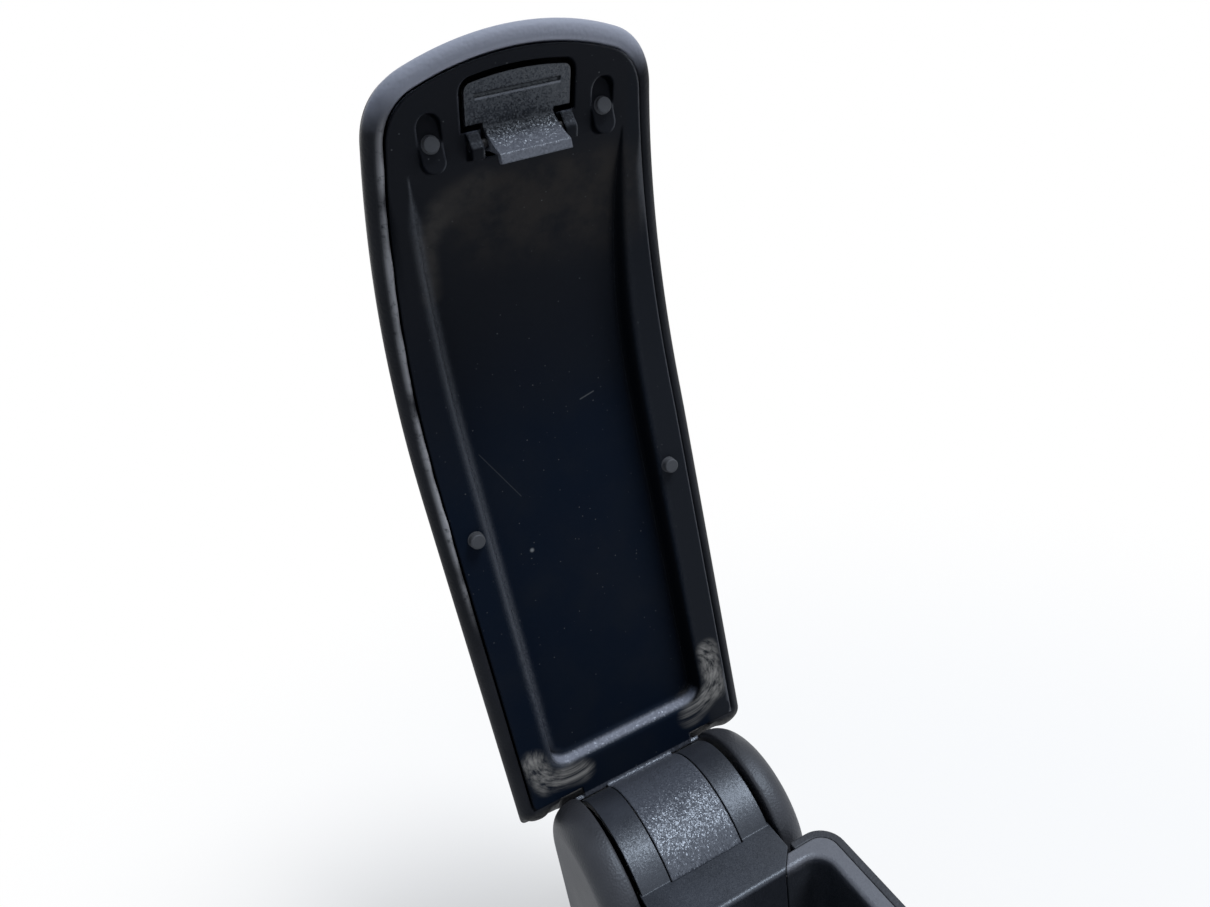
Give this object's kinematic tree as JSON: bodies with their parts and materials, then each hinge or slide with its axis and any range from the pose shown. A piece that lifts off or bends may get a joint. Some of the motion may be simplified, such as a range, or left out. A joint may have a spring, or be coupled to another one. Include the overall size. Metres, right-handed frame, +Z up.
{
  "type": "car armrest",
  "caption": "Padded car armrest: a hinged lid with a moulded inner panel and a press latch over a deep storage bin, shown open.",
  "frame": {"origin": "centre of the four mounting holes, on the underside of the base", "axes": "+Z up, +Y towards the hinge end, +X across; the lid is drawn open"},
  "size_m": [0.1162, 0.4139, 0.4423],
  "materials": {
    "skin_vinyl": "fine-grained vinyl",
    "pad_foam": "moulded foam",
    "carrier_plastic": "moulded",
    "panel_plastic": "fine grain, dusty",
    "bumper_rubber": "matt",
    "latch_plastic": "fine grain",
    "steel": "zinc plated",
    "bush_plastic": "smooth",
    "shell_plastic": "soft grain",
    "liner_plastic": "soft grain",
    "cover_plastic": "fine grain"
  },
  "bodies": {
    "base": {"outer_shell": "shell_plastic", "bin_liner": "liner_plastic", "hinge_cover": "cover_plastic", "hinge_bracket": "steel", "hinge_pin": "steel", "pin_clips": "steel", "latch_striker": "steel", "striker_screws": "steel", "cover_screws": "steel", "bracket_screws": "steel", "liner_screws": "steel"},
    "lid": {"lid_skin": "skin_vinyl", "lid_foam": "pad_foam", "lid_carrier": "carrier_plastic", "lid_inner_panel": "panel_plastic", "side_bumper_left": "bumper_rubber", "side_bumper_right": "bumper_rubber", "front_bumper_left": "bumper_rubber", "front_bumper_right": "bumper_rubber", "latch_pin": "steel", "latch_spring": "steel", "hinge_bush_left": "bush_plastic", "hinge_bush_right": "bush_plastic"},
    "latch": {"latch_paddle": "latch_plastic"}
  },
  "joints": [
    {"name": "lid_hinge", "type": "hinge", "parent": "base", "child": "lid", "pos_m": [0, 0.1469, 0.105], "axis": [1, 0, 0], "range_deg": [0, 97.4]},
    {"name": "latch_pivot", "type": "hinge", "parent": "lid", "child": "latch", "pos_m": [0, 0.18099, 0.41065], "axis": [-1, 0, 0], "range_deg": [0, 18], "stiffness_Nm_per_rad": 0.05, "springref_deg": -11.46, "deforming": ["latch_spring"]}
  ]
}
